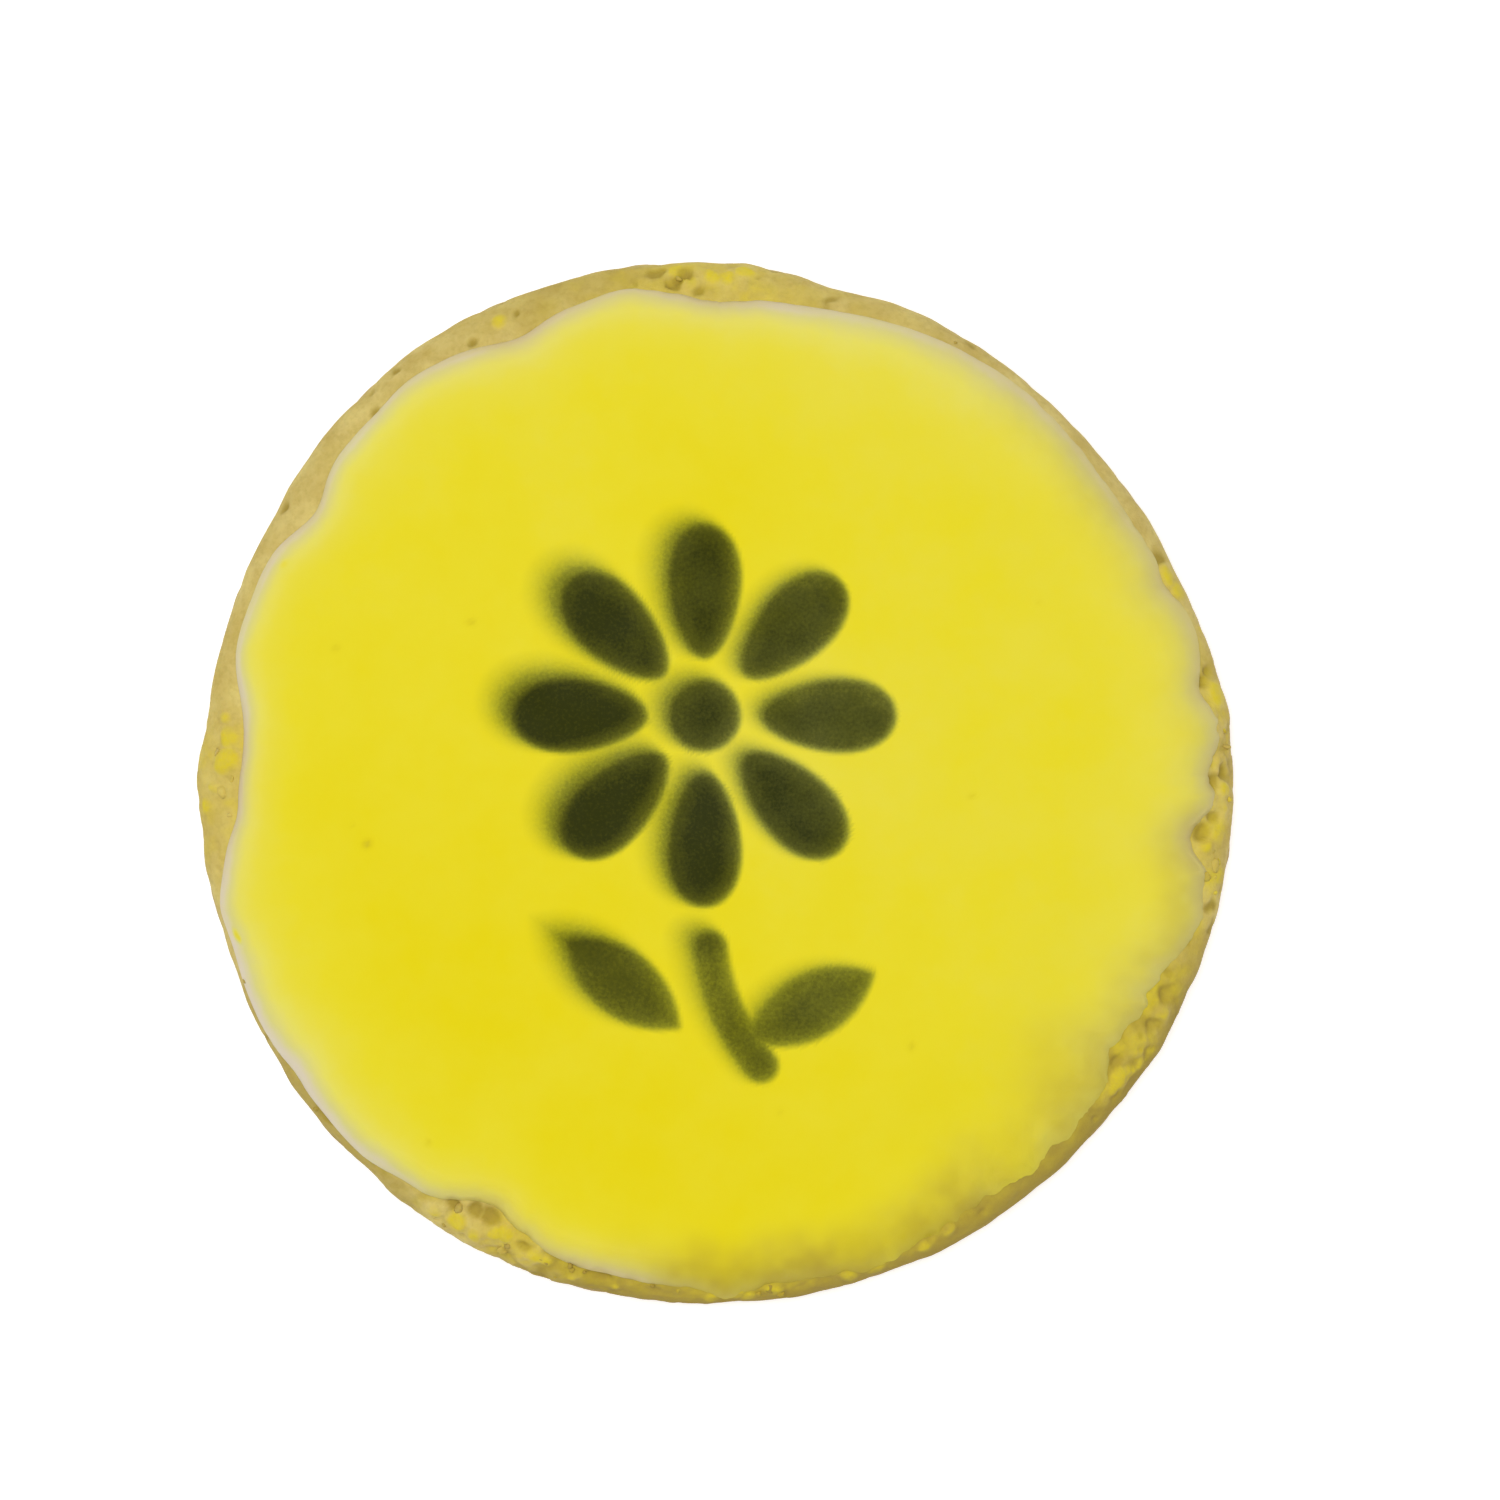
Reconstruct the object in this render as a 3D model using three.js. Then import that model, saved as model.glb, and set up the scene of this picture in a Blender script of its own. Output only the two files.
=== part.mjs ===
// An iced sugar cookie: a round of baked dough, stamped out with a plain cutter, under a poured cap
// of icing that nearly reaches its edge. Two solids: the cookie and the icing.
//
// Millimetres, +Z up. The cookie lies on its flat underside, the plane Z = 0, and the origin is the
// middle of that underside. Angles are in degrees and run counter-clockwise from +X, seen from above.

import * as THREE from "three";

// ---------- Driving dimensions ----------

const COOKIE_RADIUS = 50; // cut with a 100 mm cutter
const COOKIE_TOP = 7.6; // height of the flat top that carries the icing
const FOOT_ROUNDING = 1.6; // radius of the edge round the underside
const SHOULDER_REACH = 5; // how far in from the outline the top starts to fall away
const SHOULDER_FALL = 3.4; // how far it has fallen where it meets the side

const ICING_RADIUS = 48.2;
const ICING_THICKNESS = 2;
const ICING_DOME = 0.4; // extra height in the middle
const BEAD_REACH = 2.4; // width of the icing's rounded edge where it is full
const THIN_REACH = 4; // extra width where the icing was spread thin
const THIN_LOSS = 1.1; // thickness that is missing there
const SEAT_GAP = 0.3; // clearance between the icing and the cookie

const FLAT_RADIUS = 32; // both pieces are plain and level inside this radius
const CENTRE_RING = 18; // one more ring of the icing's dome

const STEPS = 240; // points round every ring
const FOOT_RINGS = 3;
const SHOULDER_RINGS = 6;
const BEAD_RINGS = 5;
const SEAT_RINGS = 4;

// Swells (+) and dips (-) of an outline, in mm. Each is centred at an angle and has faded to a third
// at its spread, both in degrees.

// The dough spread a little further on some sides of the cutter's circle than on others.
const COOKIE_SWELLS = [
  { at: 40, spread: 32, size: -1.4 },
  { at: 118, spread: 22, size: 0.97 },
  { at: 168, spread: 22, size: -0.55 },
  { at: 246, spread: 14, size: 0.5 },
  { at: 320, spread: 22, size: -0.31 },
];

// Chips out of the cut edge, and small bulges beside them.
const COOKIE_CHIPS = [
  { at: 8, spread: 2.5, size: 0.47 },
  { at: 54, spread: 4, size: 0.29 },
  { at: 76, spread: 4, size: -0.78 },
  { at: 87, spread: 2.5, size: 0.35 },
  { at: 109, spread: 4, size: -0.34 },
  { at: 172, spread: 2.5, size: -0.34 },
  { at: 179, spread: 4, size: 0.49 },
  { at: 200, spread: 6, size: -0.48 },
  { at: 221, spread: 6, size: 0.17 },
  { at: 354, spread: 6, size: 0.17 },
];

// The icing ran out in tongues and stopped short in bays between them.
const ICING_SWELLS = [
  { at: 34, spread: 11, size: -0.91 },
  { at: 84, spread: 18, size: -1.61 },
  { at: 100, spread: 4.5, size: 0.83 },
  { at: 114, spread: 4.5, size: -1.25 },
  { at: 127, spread: 4.5, size: 0.54 },
  { at: 146, spread: 4.5, size: -1.72 },
  { at: 165, spread: 4.5, size: 0.59 },
  { at: 176, spread: 11, size: -2.7 },
  { at: 210, spread: 18, size: 1.17 },
  { at: 227, spread: 7, size: 0.71 },
  { at: 242, spread: 4.5, size: -2.43 },
  { at: 278, spread: 18, size: 0.56 },
  { at: 330, spread: 11, size: -2.31 },
];

// Small bites in the icing's edge, where crumbs pulled it away, and drips between them.
const ICING_BITES = [
  { at: 1, spread: 2.2, size: -0.9 },
  { at: 6, spread: 2.2, size: 0.71 },
  { at: 11, spread: 2.2, size: -0.86 },
  { at: 18, spread: 3, size: 0.36 },
  { at: 24, spread: 2.2, size: -0.61 },
  { at: 90, spread: 2.2, size: -0.54 },
  { at: 184, spread: 3, size: -0.61 },
  { at: 194, spread: 3, size: 0.57 },
  { at: 248, spread: 2.2, size: -0.45 },
  { at: 271, spread: 2.2, size: 0.71 },
  { at: 288, spread: 3, size: 0.48 },
  { at: 304, spread: 2.2, size: -0.71 },
  { at: 322, spread: 2.2, size: 1.19 },
  { at: 331, spread: 2.2, size: 0.88 },
  { at: 344, spread: 3, size: 0.67 },
  { at: 354, spread: 3, size: -2.19 },
];

// Where the spatula scraped the icing thin: 1 is as thin as it gets.
const THIN_STRETCHES = [
  { at: 38, spread: 26, size: 0.7 },
  { at: 314, spread: 36, size: 1 },
];

// The crumbly relief of the cut edge: waves round the rim, in mm, that shift from layer to layer of
// the side. The turns are whole numbers, so that each wave closes on itself.
const CRAG_WAVES = [
  { turns: 11, size: 0.08, phase: 20, climb: 25 },
  { turns: 23, size: 0.09, phase: 120, climb: -40 },
  { turns: 41, size: 0.1, phase: 250, climb: 55 },
  { turns: 67, size: 0.08, phase: 80, climb: -70 },
];

// ---------- Outlines ----------

const sin = (degrees) => Math.sin(THREE.MathUtils.degToRad(degrees));
const cos = (degrees) => Math.cos(THREE.MathUtils.degToRad(degrees));

/** The sum of a list of swells at an angle. */
function swellAt(list, angle) {
  return list.reduce((sum, { at, spread, size }) => {
    const turn = THREE.MathUtils.euclideanModulo(angle - at + 180, 360) - 180;
    return sum + size * Math.exp(-((turn / spread) ** 2));
  }, 0);
}

/** How far the crags push the side out at an angle, that many mm below the shoulder's lower end. */
function cragAt(angle, below) {
  return CRAG_WAVES.reduce(
    (sum, { turns, size, phase, climb }) =>
      sum + size * sin(turns * angle + phase + climb * below),
    0,
  );
}

const cookieRadius = (angle) =>
  COOKIE_RADIUS + swellAt([...COOKIE_SWELLS, ...COOKIE_CHIPS], angle);
const icingRadius = (angle) =>
  ICING_RADIUS + swellAt([...ICING_SWELLS, ...ICING_BITES], angle);
const thinness = (angle) => swellAt(THIN_STRETCHES, angle);

// ---------- The cookie's shoulder ----------

/** The radius of the cookie's top face at a distance in from its outline; the crags fade out inwards. */
function shoulderRadius(angle, inset) {
  const crag = cragAt(angle, 0) * (1 - inset / SHOULDER_REACH);
  return cookieRadius(angle) + crag - inset;
}

/** The height of the cookie's top face at a radius: a quarter ellipse, then level. */
function cookieHeight(angle, radius) {
  const crag = cragAt(angle, 0);
  const inset =
    (cookieRadius(angle) + crag - radius) / (1 + crag / SHOULDER_REACH);
  const outward = THREE.MathUtils.clamp(1 - inset / SHOULDER_REACH, 0, 1);
  return COOKIE_TOP - SHOULDER_FALL * (1 - Math.sqrt(1 - outward ** 2));
}

// ---------- Building a solid from rings ----------

/**
 * A ring is a function from an angle to [radius, height]. The rings run from the underside's middle
 * out, up the side and over the top, and the solid closes on a point at each end.
 */
function solidOfRings(rings, lowest, highest) {
  const positions = [0, 0, lowest];
  for (const ring of rings) {
    for (let step = 0; step < STEPS; step++) {
      const angle = (360 * step) / STEPS;
      const [radius, height] = ring(angle);
      positions.push(radius * cos(angle), radius * sin(angle), height);
    }
  }
  positions.push(0, 0, highest);

  const vertex = (ring, step) => 1 + ring * STEPS + (step % STEPS);
  const last = rings.length - 1;
  const top = 1 + rings.length * STEPS;
  const triangles = [];
  for (let step = 0; step < STEPS; step++) {
    triangles.push(0, vertex(0, step + 1), vertex(0, step));
    triangles.push(top, vertex(last, step), vertex(last, step + 1));
    for (let ring = 0; ring < last; ring++) {
      const [a, b] = [vertex(ring, step), vertex(ring, step + 1)];
      const [c, d] = [vertex(ring + 1, step), vertex(ring + 1, step + 1)];
      triangles.push(a, b, d, a, d, c);
    }
  }

  const geometry = new THREE.BufferGeometry();
  geometry.setAttribute(
    "position",
    new THREE.Float32BufferAttribute(positions, 3),
  );
  geometry.setIndex(triangles);
  geometry.computeVertexNormals();
  return geometry;
}

/** Whole numbers from first to last. */
const range = (first, last) =>
  Array.from({ length: last - first + 1 }, (_, i) => first + i);

// ---------- Cookie ----------

function cookieGeometry() {
  const shoulderStart = COOKIE_TOP - SHOULDER_FALL;

  // The rounded foot, a quarter circle up from the flat underside.
  const foot = range(0, FOOT_RINGS).map((i) => (angle) => {
    const turn = (90 * i) / FOOT_RINGS;
    const height = FOOT_ROUNDING * (1 - cos(turn));
    const crag = cragAt(angle, shoulderStart - height) * sin(turn);
    return [
      cookieRadius(angle) - FOOT_ROUNDING * (1 - sin(turn)) + crag,
      height,
    ];
  });

  // The side's middle, between the foot and the shoulder.
  const middle = (FOOT_ROUNDING + shoulderStart) / 2;
  const side = (angle) => [
    cookieRadius(angle) + cragAt(angle, shoulderStart - middle),
    middle,
  ];

  // The shoulder, a quarter ellipse from the side to the level top.
  const shoulder = range(0, SHOULDER_RINGS).map((i) => (angle) => {
    const turn = (90 * i) / SHOULDER_RINGS;
    const radius = shoulderRadius(angle, SHOULDER_REACH * (1 - cos(turn)));
    return [radius, COOKIE_TOP - SHOULDER_FALL * (1 - sin(turn))];
  });

  const level = () => [FLAT_RADIUS, COOKIE_TOP];
  return solidOfRings([...foot, side, ...shoulder, level], 0, COOKIE_TOP);
}

// ---------- Icing ----------

/** The width and the thickness of the icing's rounded edge at an angle. */
const beadReach = (angle) => BEAD_REACH + THIN_REACH * thinness(angle);
const beadThickness = (angle) => ICING_THICKNESS - THIN_LOSS * thinness(angle);

function icingGeometry() {
  const seat = (angle, radius) => cookieHeight(angle, radius) + SEAT_GAP;
  const levelSeat = () => [FLAT_RADIUS, COOKIE_TOP + SEAT_GAP];

  // The underside follows the cookie's shoulder out to the icing's edge. Its rings lie closer together
  // towards the edge, where the shoulder is steep.
  const underside = range(1, SEAT_RINGS).map((i) => (angle) => {
    const inwards = SHOULDER_REACH * (1 - sin((90 * i) / SEAT_RINGS));
    const radius = icingRadius(angle) - inwards;
    return [radius, seat(angle, radius)];
  });

  // The edge rises as a rounded bead and runs over into the top.
  const bead = range(1, BEAD_RINGS).map((i) => (angle) => {
    const turn = (90 * i) / BEAD_RINGS;
    const radius = icingRadius(angle) - beadReach(angle) * (1 - cos(turn));
    return [radius, seat(angle, radius) + beadThickness(angle) * sin(turn)];
  });

  const face = COOKIE_TOP + SEAT_GAP + ICING_THICKNESS;
  const dome = (radius) => () => [
    radius,
    face + ICING_DOME * (1 - (radius / FLAT_RADIUS) ** 2),
  ];
  const top = [dome(FLAT_RADIUS), dome(CENTRE_RING)];
  return solidOfRings(
    [levelSeat, ...underside, ...bead, ...top],
    COOKIE_TOP + SEAT_GAP,
    face + ICING_DOME,
  );
}

// ---------- Assembly ----------

function piece(name, geometry, material) {
  const mesh = new THREE.Mesh(
    geometry,
    new THREE.MeshStandardMaterial({ metalness: 0, ...material }),
  );
  mesh.name = name;
  return mesh;
}

const cookie = piece("cookie", cookieGeometry(), {
  color: "#c9b06c", // pale, barely browned dough
  roughness: 0.9,
});
const icing = piece("icing", icingGeometry(), {
  color: "#e9db2d", // lemon yellow
  roughness: 0.5,
});

const part = new THREE.Group().add(cookie, icing);

// The outline's swells shift its middle a little, so the part is set back over the origin.
const middle = new THREE.Box3().setFromObject(part).getCenter(new THREE.Vector3());
part.position.set(-middle.x, -middle.y, 0);

export default part;
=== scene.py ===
# %% [markdown]
# # An iced sugar cookie
#
# A sugar cookie is stamped out of rolled dough, baked until it is barely coloured, and covered with a
# poured icing that levels itself and stops just short of the edge. Here the icing is cream coloured,
# sprayed lemon yellow with an airbrush, and a dark daisy is sprayed on it through a stencil.
#
# The lesson builds three pieces: the baked cookie, the poured icing, and the loose crumbs on the rim.
# Each is a surface worked out with numpy, in millimetres, and becomes a mesh in metres.

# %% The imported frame
import itertools

import bmesh
import bpy
import numpy as np
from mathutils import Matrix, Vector


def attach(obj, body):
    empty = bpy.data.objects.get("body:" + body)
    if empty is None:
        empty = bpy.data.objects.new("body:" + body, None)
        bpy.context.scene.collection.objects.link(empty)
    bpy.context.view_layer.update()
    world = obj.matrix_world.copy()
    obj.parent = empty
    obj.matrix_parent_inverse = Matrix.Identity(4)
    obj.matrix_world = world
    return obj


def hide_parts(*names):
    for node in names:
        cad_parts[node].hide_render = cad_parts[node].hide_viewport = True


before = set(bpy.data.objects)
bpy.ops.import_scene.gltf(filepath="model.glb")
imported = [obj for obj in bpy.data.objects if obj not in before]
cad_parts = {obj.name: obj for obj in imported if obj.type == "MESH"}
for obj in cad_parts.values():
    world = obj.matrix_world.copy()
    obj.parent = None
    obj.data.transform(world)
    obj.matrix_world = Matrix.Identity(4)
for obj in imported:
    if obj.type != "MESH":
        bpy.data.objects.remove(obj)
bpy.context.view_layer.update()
MM = 0.001  # metres in a millimetre

# %% [markdown]
# ## Angles, swells and dips
#
# A cookie's outline is a circle that spread further on some sides than on others, and the icing's edge
# runs out in tongues and stops short in bays. Each such swell has an angle, a spread and a size, and fades
# out like a bell curve. That is easier to read and to change than a list of points.

# %% Swells along an angle
def swells_at(swells, angle):
    """The sum of size * exp(-(turn / spread)²) over (at, spread, size), where turn is angle - at."""
    total = 0.0
    for at, spread, size in swells:
        turn = (angle - at + 180) % 360 - 180
        total = total + size * np.exp(-((turn / spread) ** 2))
    return total


def share_at(swells, angle, least=0.0):
    """The least share plus the swells, held between 0 and 1."""
    return np.clip(least + swells_at(swells, angle), 0, 1)


def cosine(degrees):
    return np.cos(np.radians(degrees))


def sine(degrees):
    return np.sin(np.radians(degrees))


def at_polar(radius, angle, height):
    """Points at a radius, an angle and a height."""
    return np.stack([radius * cosine(angle), radius * sine(angle), height], -1)


def smooth(value, start, end):
    """3t² - 2t³, where t runs from 0 at the start to 1 at the end and is held at both."""
    t = np.clip((value - start) / (end - start), 0, 1)
    return t * t * (3 - 2 * t)


# %% The outlines of the cookie and the icing
COOKIE_RADIUS = 50
COOKIE_TOP = 7.6
FOOT_ROUNDING = 1.6
SHOULDER_REACH = 5
SHOULDER_FALL = 3.4
SHOULDER_START = COOKIE_TOP - SHOULDER_FALL
# Each row is a swell or a bite: its angle and spread in degrees, and its size in mm.
COOKIE_SWELLS = [(40, 32, -1.4), (118, 22, 0.97), (168, 22, -0.55), (246, 14, 0.5), (320, 22, -0.31)]
COOKIE_CHIPS = [
    (8, 2.5, 0.47), (54, 4, 0.29), (76, 4, -0.78), (87, 2.5, 0.35), (109, 4, -0.34), (172, 2.5, -0.34),
    (179, 4, 0.49), (200, 6, -0.48), (221, 6, 0.17), (354, 6, 0.17)]

ICING_RADIUS = 48.2
ICING_SWELLS = [
    (34, 11, -0.91), (84, 18, -1.61), (100, 4.5, 0.83), (114, 4.5, -1.25), (127, 4.5, 0.54),
    (146, 4.5, -1.72), (165, 4.5, 0.59), (176, 11, -2.7), (210, 18, 1.17), (227, 7, 0.71),
    (242, 4.5, -2.43), (278, 18, 0.56), (330, 11, -2.31)]
ICING_BITES = [
    (1, 2.2, -0.9), (6, 2.2, 0.71), (11, 2.2, -0.86), (18, 3, 0.36), (24, 2.2, -0.61), (90, 2.2, -0.54),
    (184, 3, -0.61), (194, 3, 0.57), (204, 8, 0.22), (214.5, 2.2, -0.25), (231, 3, -0.3), (248, 2.2, -0.45),
    (271, 2.2, 0.71), (288, 3, 0.48), (304, 2.2, -0.71), (322, 2.2, 1.19), (331, 2.2, 0.88), (344, 3, 0.67),
    (354, 3, -2.19)]


def cookie_radius(angle):
    return COOKIE_RADIUS + swells_at(COOKIE_SWELLS + COOKIE_CHIPS, angle)


def icing_radius(angle):
    return ICING_RADIUS + swells_at(ICING_SWELLS + ICING_BITES, angle)

# %% [markdown]
# ## Noise
#
# Baked crumb is irregular at every scale. Value noise swells and sinks smoothly like dough, and cell noise
# falls into separate grains like crumbs. Both are worked out in space rather than along the surface, so
# they have no seam where a ring closes.

# %% Value noise and cell noise
CELL_FACTORS = np.array([374761393, 668265263, 2246822519], np.uint32)
SEED_FACTOR = 3266489917
MIXING_ROUNDS = [(15, 2246822507), (13, 3266489909), (16, 1)]  # a shift in bits, then a factor
HIGHEST = 0xFFFFFF
ROUGH_LAYERS, LAYER_SHARE = 4, 0.6


def cell_value(cells, seed):
    """A repeatable number from 0 to 1 for each whole-number cell: its coordinates are multiplied by large
    odd numbers, combined with the seed and mixed bit by bit."""
    parts = cells.astype(np.int64).astype(np.uint32) * CELL_FACTORS
    mixed = parts[..., 0] ^ parts[..., 1] ^ parts[..., 2] ^ np.uint32(seed * SEED_FACTOR % 2**32)
    for shift, factor in MIXING_ROUNDS:
        mixed = (mixed ^ (mixed >> np.uint32(shift))) * np.uint32(factor)
    return (mixed & np.uint32(HIGHEST)) / HIGHEST


def value_noise(points, size, seed):
    """Smooth noise from -1 to 1: random values at the corners of cubes of that size in mm, blended with
    3t² - 2t³ between them."""
    cell = np.floor(points / size)
    t = smooth(points / size - cell, 0, 1)
    total = 0
    for corner in itertools.product((0, 1), repeat=3):
        weight = np.prod(np.where(np.array(corner) == 1, t, 1 - t), axis=-1)
        total = total + weight * cell_value(cell + corner, seed)
    return 2 * total - 1


def noise_sum(points, layers):
    """The sum of amount * value noise over layers of (amount, size in mm, seed)."""
    return sum(amount * value_noise(points, size, seed) for amount, size, seed in layers)


def rough_noise(points, size, seed):
    """Layers of value noise, each with lumps half as wide as the last one's and LAYER_SHARE as high."""
    return noise_sum(points, [(LAYER_SHARE**i, size / 2**i, seed + i) for i in range(ROUGH_LAYERS)])


def bent_points(points, amount, size, seed):
    """The points moved by value noise, so that what is drawn at them gets irregular outlines."""
    return points + amount * np.stack([value_noise(points, size, seed + i) for i in range(3)], -1)


def grain_distance(points, size, seed):
    """The distance to the nearest of scattered grain centres, one in each cube of that size, in cubes."""
    cell = np.floor(points / size)
    nearest = np.full(points.shape[:-1], np.inf)
    for step in itertools.product((-1, 0, 1), repeat=3):
        near = cell + step
        centre = near + np.stack([cell_value(near, seed + i) for i in range(3)], axis=-1)
        nearest = np.minimum(nearest, np.linalg.norm(points / size - centre, axis=-1))
    return nearest

# %% [markdown]
# ## Covering a disc
#
# Rings would crowd a disc's middle with points and leave its edge short of them. Here a square grid is
# bent into a disc instead: each square ring of the grid becomes a round one, so the cells are nearly the
# same size everywhere.

# %% A square grid bent into a disc
GRID_START = 225  # degrees: where the walk round a grid's edge starts


def disc_grid(cells):
    """For a grid of (cells + 1)² points: the share of the way to the edge, and the angle, which grows
    evenly along the sides of each square ring."""
    line = np.linspace(-1, 1, cells + 1)
    across, up = np.meshgrid(line, line)
    sideways = np.abs(across) > np.abs(up)
    larger = np.where(sideways, across, up)
    divisor = np.where(larger == 0, 1, larger)
    angle = np.where(sideways, 45 * up / divisor, 90 - 45 * across / divisor) + 180 * (larger < 0)
    return np.abs(larger), angle % 360


def grid_faces(cells):
    """The grid's faces and the point numbers round its edge, both counter-clockwise from above."""
    wide, along = cells + 1, np.arange(cells)
    corner = along[:, None] * wide + along
    faces = np.stack([corner, corner + 1, corner + wide + 1, corner + wide], -1).reshape(-1, 4)
    sides = [along, along * wide + cells, cells * wide + cells - along, (cells - along) * wide]
    return faces, np.concatenate(sides)


# %% [markdown]
# ## The baked cookie
#
# The dough has a flat underside that lay on the tray, a rounded foot, a cut side, and a shoulder that
# slumped in the oven. Under the icing its top is level. One profile carried round the outline gives the
# part that shows: rings of points, each a distance in from the outline and a height.

# %% The profile's rings
FOOT_RINGS, SIDE_RINGS, SHOULDER_RINGS = 9, 11, 36
COOKIE_STEPS = 1200
CRAG_WAVES = [(11, 0.08, 20, 25), (23, 0.08, 120, -40), (41, 0.05, 250, 55), (67, 0.03, 80, -70)]


def profile_rings():
    """Three columns over the rings, from the foot to the top: the distance in from the outline, the
    height, and the slope of the surface's normal above the horizontal, in degrees."""
    foot, shoulder = np.linspace(0, 90, FOOT_RINGS), np.linspace(0, 90, SHOULDER_RINGS)
    side = np.linspace(FOOT_ROUNDING, SHOULDER_START, SIDE_RINGS + 2)[1:-1]
    inset = [FOOT_ROUNDING * (1 - sine(foot)), 0 * side, SHOULDER_REACH * (1 - cosine(shoulder))]
    height = [FOOT_ROUNDING * (1 - cosine(foot)), side, COOKIE_TOP - SHOULDER_FALL * (1 - sine(shoulder))]
    slope = [foot - 90, 0 * side, shoulder]
    return [np.concatenate(parts)[:, None] for parts in (inset, height, slope)]


def crag_at(angle, below):
    """The sum of size * sin(turns * angle + phase + climb * mm below the shoulder) over the waves."""
    waves = [size * sine(turns * angle + phase + climb * below) for turns, size, phase, climb in CRAG_WAVES]
    return sum(waves)


cookie_angle = np.arange(COOKIE_STEPS) * 360 / COOKIE_STEPS

# %% [markdown]
# ## From numpy to a mesh
#
# The outline's swells pull the cookie's middle a little off its circle's. The frame's origin is the middle
# of its box, so every mesh is moved there. A mesh also keeps named values at its points, which the
# materials read.

# %% The origin and the meshes
PLAIN_STEP = 1.5  # degrees
SIDE_LEVELS = (0, 1.3, SHOULDER_START - FOOT_ROUNDING)  # mm below the shoulder


def plain_middle():
    """The middle of the box round the side, in mm, without its crumb."""
    angle = np.arange(0, 360, PLAIN_STEP)
    radius = np.concatenate([cookie_radius(angle) + crag_at(angle, below) for below in SIDE_LEVELS])
    points = at_polar(radius, np.tile(angle, len(SIDE_LEVELS)), 0 * radius)
    return (points.min(axis=0) + points.max(axis=0)) / 2


box_middle = plain_middle()


def mesh_piece(name, points, quads, triangles, **values):
    """A mesh object from points in mm, four-sided and three-sided faces, and named values at the points."""
    mesh = bpy.data.meshes.new(name)
    mesh.vertices.add(len(points))
    metres = (points * MM).astype(np.float32) - box_middle * MM
    mesh.vertices.foreach_set("co", metres.astype(np.float32).ravel())
    corners = np.concatenate([quads.ravel(), triangles.ravel()]).astype(np.int32)
    mesh.loops.add(len(corners))
    mesh.loops.foreach_set("vertex_index", corners)
    sides = np.concatenate([np.full(len(quads), 4), np.full(len(triangles), 3)])
    mesh.polygons.add(len(sides))
    mesh.polygons.foreach_set("loop_start", (np.cumsum(sides) - sides).astype(np.int32))
    mesh.polygons.foreach_set("use_smooth", np.ones(len(sides), bool))
    for key, value in values.items():
        layer = mesh.attributes.new(key, "FLOAT", "POINT")
        layer.data.foreach_set("value", np.broadcast_to(value, len(points)).astype(np.float32))
    mesh.update(calc_edges=True)
    mesh.validate()
    piece = bpy.data.objects.new(name, mesh)
    bpy.context.collection.objects.link(piece)
    print(name, len(points), "points,", 2 * len(quads) + len(triangles), "triangles")
    return piece


def ring_quads(rows, steps, first=0):
    """Faces between neighbouring rings of points, which run counter-clockwise from above. They face
    outwards when the rings climb."""
    here, low = np.arange(steps), first + steps * np.arange(rows - 1)[:, None]
    there, high = (here + 1) % steps, low + steps
    return np.stack([low + here, low + there, high + there, high + here], -1).reshape(-1, 4)


# %% [markdown]
# ## Crumb
#
# A cutter tears sugar dough rather than slicing it, so the side is granular, with pits where grains fell
# out, and the baked top is smoother. The relief is real geometry along the surface's normal: swelling
# dough, rounded grains, and pits where a coarse cell noise is close to its centre. Stretches of the rim
# that crumbled get more of it.

# %% Crumb relief
CRUMBLY_STRETCHES = [
    (247, 16, 0.9), (280, 12, 0.4), (328, 9, 0.8), (3, 9, 0.9), (92, 8, 0.7), (177, 9, 0.35)]
# Noise is (amount, size, seed) or (size, seed). The sides of grains and pits lie between two distances
# from their centres, in shares of their size.
SWELLING = [(0.14, 4.2, 11), (0.07, 1.7, 12)]
GRAIN_BEND, SPOT_BEND = (0.6, 1.1, 17), (0.35, 1.3, 121)
CHUNKS, CHUNK_SIDES, CHUNK_HEIGHT = (1.9, 13), (0.2, 0.9), 0.28
FINE_CRUMB, FINE_HEIGHT = (1.7, 101), 0.26
HOLLOWS, HOLLOW_SIDES = (3.4, 15), (0.34, 0.1)
RAISED_SLOPES, LEVEL_SLOPES = (15, 50), (40, 85)  # degrees: side to shoulder, and shoulder to top
SIDE_BULGE = 0.05
CALM_FOOT = 0.9  # the height over which the relief sets in
LUMP_HEIGHT, PIT_DEPTH = 0.55, 0.65  # for each mm of their size

# Lumps that broke out of the edge and were sprayed, and pits left by others: angle, radius and size.
LUMPS = [
    (10.3, 49, 1.1), (17.7, 49, 0.5), (22.6, 48.3, 0.8), (24.6, 47.8, 0.9), (86.8, 49.3, 0.9),
    (88.7, 48.6, 0.8), (90.4, 48.7, 0.9), (93, 48.2, 0.8), (94.3, 49.5, 0.9), (115, 49.2, 0.7),
    (172.3, 47.4, 0.6), (174.6, 46.9, 1), (177.4, 47.1, 1.15), (180.3, 48.3, 0.6), (182.5, 49.1, 0.7),
    (236.7, 49.2, 0.6), (239.3, 49, 1), (242, 49.3, 0.7), (243.8, 48.3, 0.7), (245, 47.9, 0.9),
    (248.9, 48.7, 0.8), (250.3, 48.8, 0.7), (253.8, 49.5, 0.5), (258.8, 49.3, 0.5), (269.5, 49.4, 0.8),
    (272.4, 49, 0.8), (274, 49.4, 0.7), (276.6, 48.9, 0.8), (285.3, 48.9, 0.8), (288.4, 49.2, 0.8),
    (294.2, 48.7, 0.8), (297.6, 48.5, 0.7), (322.4, 47.9, 0.8), (323.8, 48, 1.1), (325.3, 48.6, 0.8),
    (326.6, 48.9, 0.6), (332.6, 48.2, 0.8), (349.5, 49.4, 0.8), (352.7, 47.4, 0.8), (357, 49, 0.5),
    (359.4, 49.1, 0.7)]
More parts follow.
